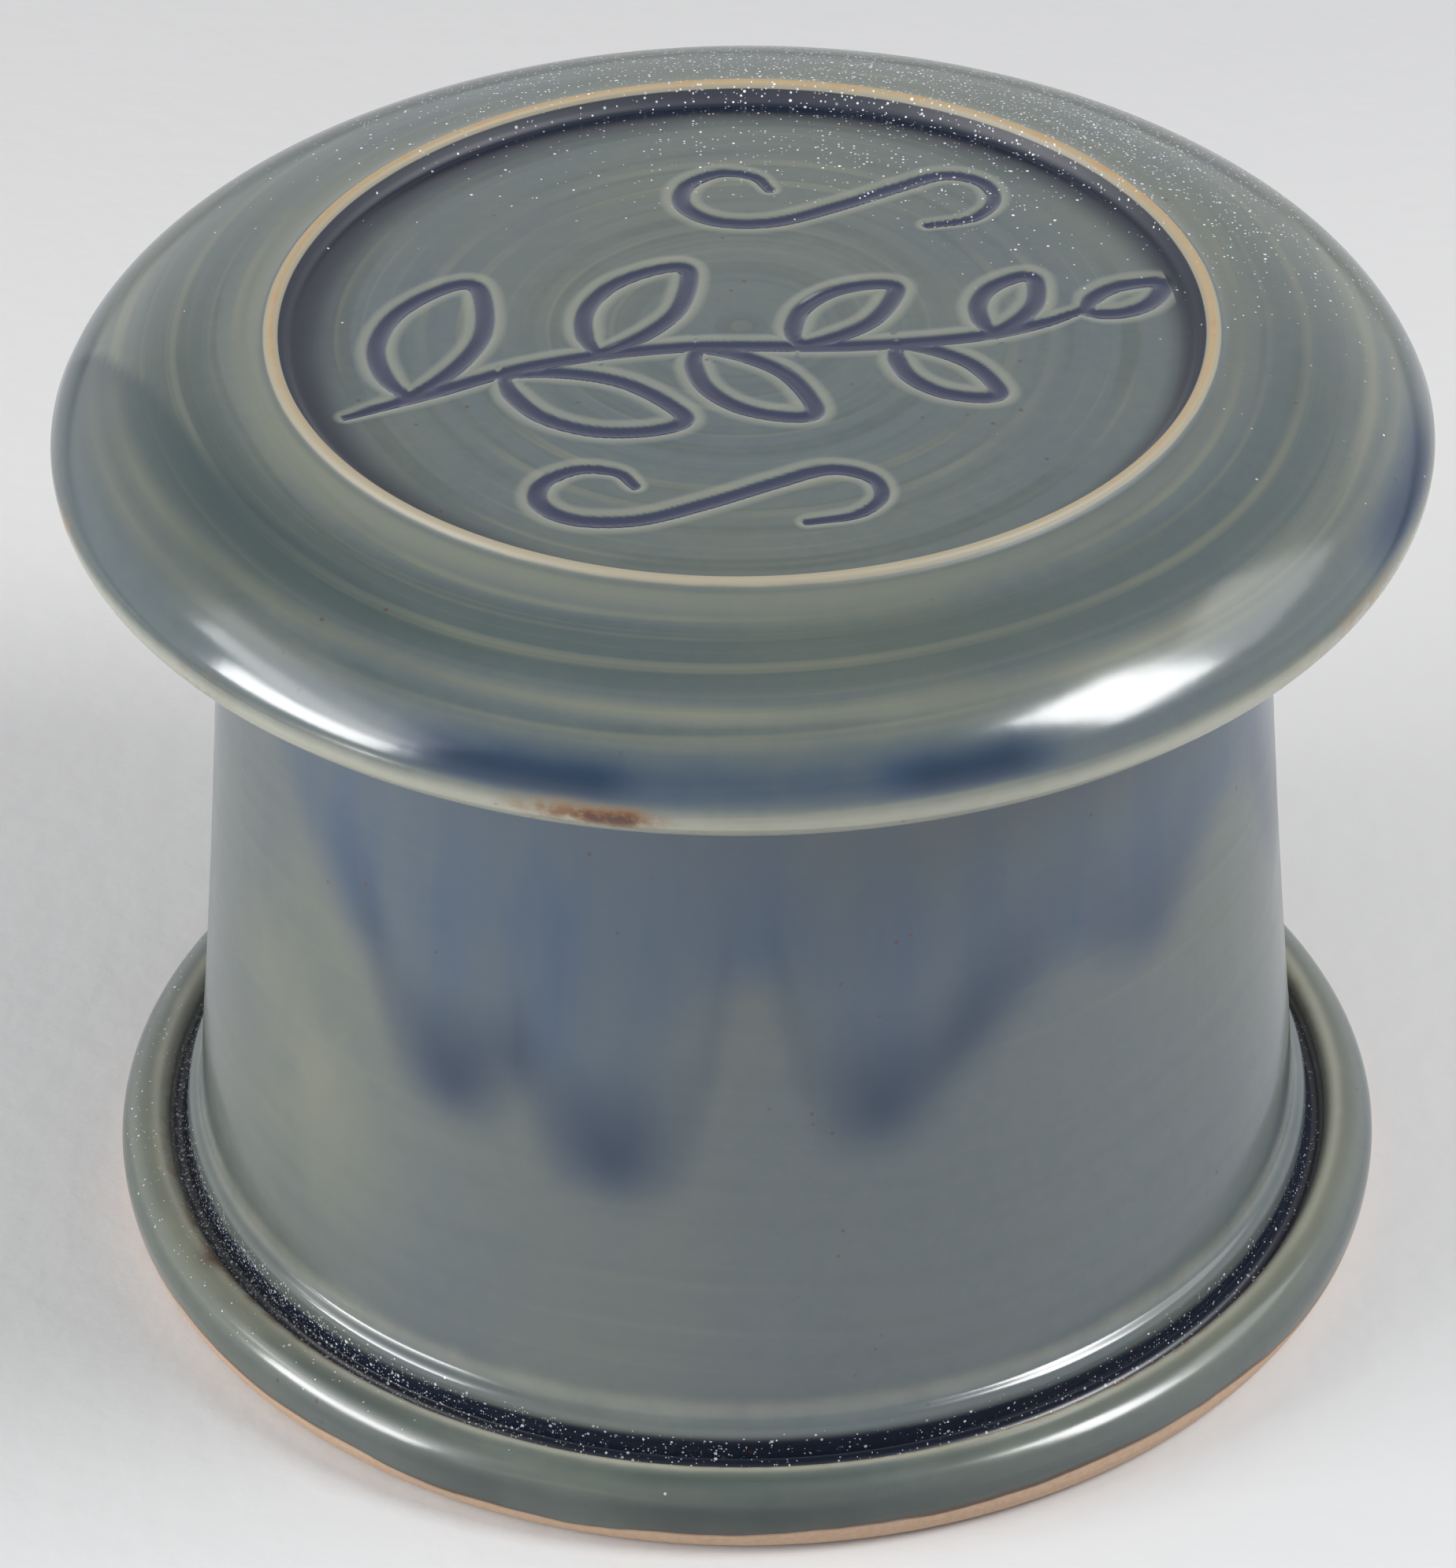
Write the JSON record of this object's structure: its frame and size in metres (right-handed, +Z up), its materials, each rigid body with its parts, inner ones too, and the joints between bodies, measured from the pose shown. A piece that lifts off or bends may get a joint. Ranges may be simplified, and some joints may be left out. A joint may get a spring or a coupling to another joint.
{
  "type": "butter crock",
  "caption": "Stoneware butter keeper: a flared crock on a wide foot, with a mushroom lid that carries a hanging bell for the butter.",
  "frame": {"origin": "on the table, under the crock's axis", "axes": "+Z up along the crock's axis and the way the lid lifts, +X to the right and -Y towards the front of the lid's ornament"},
  "size_m": [0.127, 0.127, 0.0963],
  "materials": {
    "foot_glaze": "glossy celadon grey-green glaze, bare terracotta at the contact edge",
    "crock_glaze": "glossy celadon grey glaze with soft cobalt runs",
    "lid_glaze": "glossy celadon grey-green glaze, dark where it pools and tan where it breaks",
    "bell_glaze": "glossy celadon grey-green glaze"
  },
  "bodies": {
    "crock": {"foot_ring": "foot_glaze", "crock_wall": "crock_glaze"},
    "lid": {"lid_cap": "lid_glaze", "butter_bell": "bell_glaze"}
  },
  "joints": [
    {"name": "lid_lift", "type": "slide", "parent": "crock", "child": "lid", "axis": [0, 0, 1], "range_m": [0, 0.09]}
  ]
}
